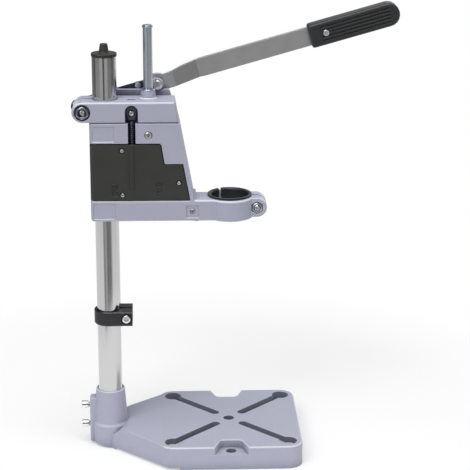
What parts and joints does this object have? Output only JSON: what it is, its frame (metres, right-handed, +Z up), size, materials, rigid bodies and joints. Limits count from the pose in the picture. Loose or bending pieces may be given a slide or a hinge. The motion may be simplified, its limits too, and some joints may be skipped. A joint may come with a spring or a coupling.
{
  "type": "drill stand",
  "caption": "Bench stand for a hand drill: slotted worktable, upright column, clamp head and a lever-fed spring-return carriage with a drill collar.",
  "frame": {"origin": "centre of the column's axis on the face the base rests on", "axes": "+Z up along the column, +X from the column towards the drill collar, +Y away from the front cover"},
  "size_m": [0.3479, 0.154, 0.48],
  "materials": {
    "cast_paint": "satin lilac-grey paint on die-cast aluminium",
    "chrome": "polished chrome plate",
    "lever_steel": "dull grey plated flat steel",
    "zinc": "bright zinc plate",
    "black_plastic": "black moulded plastic",
    "grip_plastic": "black moulded plastic with a light gloss",
    "dark_metal": "black oxide steel"
  },
  "bodies": {
    "base_body": {"base_plate": "cast_paint", "socket_bolt_upper": "zinc", "socket_bolt_lower": "zinc"},
    "column_body": {"column": "chrome", "column_cap": "black_plastic"},
    "stop_ring_body": {"stop_ring": "dark_metal", "stop_ring_screw": "dark_metal", "stop_ring_nut": "zinc"},
    "head_body": {"clamp_head": "cast_paint", "clamp_stud": "zinc", "clamp_front_nut": "dark_metal", "clamp_rear_nut": "zinc", "fulcrum_washer": "zinc", "fulcrum_nut": "zinc", "rod_guide_bush": "zinc", "spring_eye": "dark_metal", "spring_anchor_screw": "zinc", "return_spring": "dark_metal"},
    "carriage_body": {"carriage": "cast_paint", "upper_bush": "black_plastic", "lower_bush": "black_plastic", "front_cover": "black_plastic", "cover_screw_upper": "zinc", "cover_screw_lower": "zinc", "cover_screw_side": "zinc", "collar_insert": "black_plastic", "collar_bolt": "zinc", "collar_nut": "zinc", "arm_set_screw": "zinc", "depth_rod": "zinc", "rod_ring": "zinc", "rod_screw": "zinc", "pivot_bolt": "zinc", "pivot_washer": "zinc", "pivot_spacer": "zinc", "pivot_nut": "zinc"},
    "lever_body": {"lever_bar": "lever_steel", "lever_inner_arm": "dark_metal", "lever_rivet_near": "zinc", "lever_rivet_far": "zinc", "grip": "grip_plastic", "grip_screw": "dark_metal"}
  },
  "joints": [
    {"name": "column_swivel", "type": "hinge", "parent": "base_body", "child": "column_body", "pos_m": [0, 0, 0.03], "axis": [0, 0, 1], "continuous": true},
    {"name": "stop_ring_slide", "type": "slide", "parent": "column_body", "child": "stop_ring_body", "axis": [0, 0, 1], "range_m": [-0.076, 0.019]},
    {"name": "head_slide", "type": "slide", "parent": "column_body", "child": "head_body", "axis": [0, 0, 1], "range_m": [-0.025, 0.04]},
    {"name": "carriage_slide", "type": "slide", "parent": "head_body", "child": "carriage_body", "axis": [0, 0, -1], "range_m": [0, 0.057], "stiffness_N_per_m": 300, "springref_m": -0.1, "deforming": ["return_spring"]},
    {"name": "lever_pivot", "type": "hinge", "parent": "carriage_body", "child": "lever_body", "pos_m": [0.0543, 0.0269, 0.3978], "axis": [0, 1, 0], "range_deg": [0, 39.7]}
  ],
  "couplings": [
    {"joint": "lever_pivot", "follows": "carriage_slide", "rad_per_m": 12.12}
  ]
}
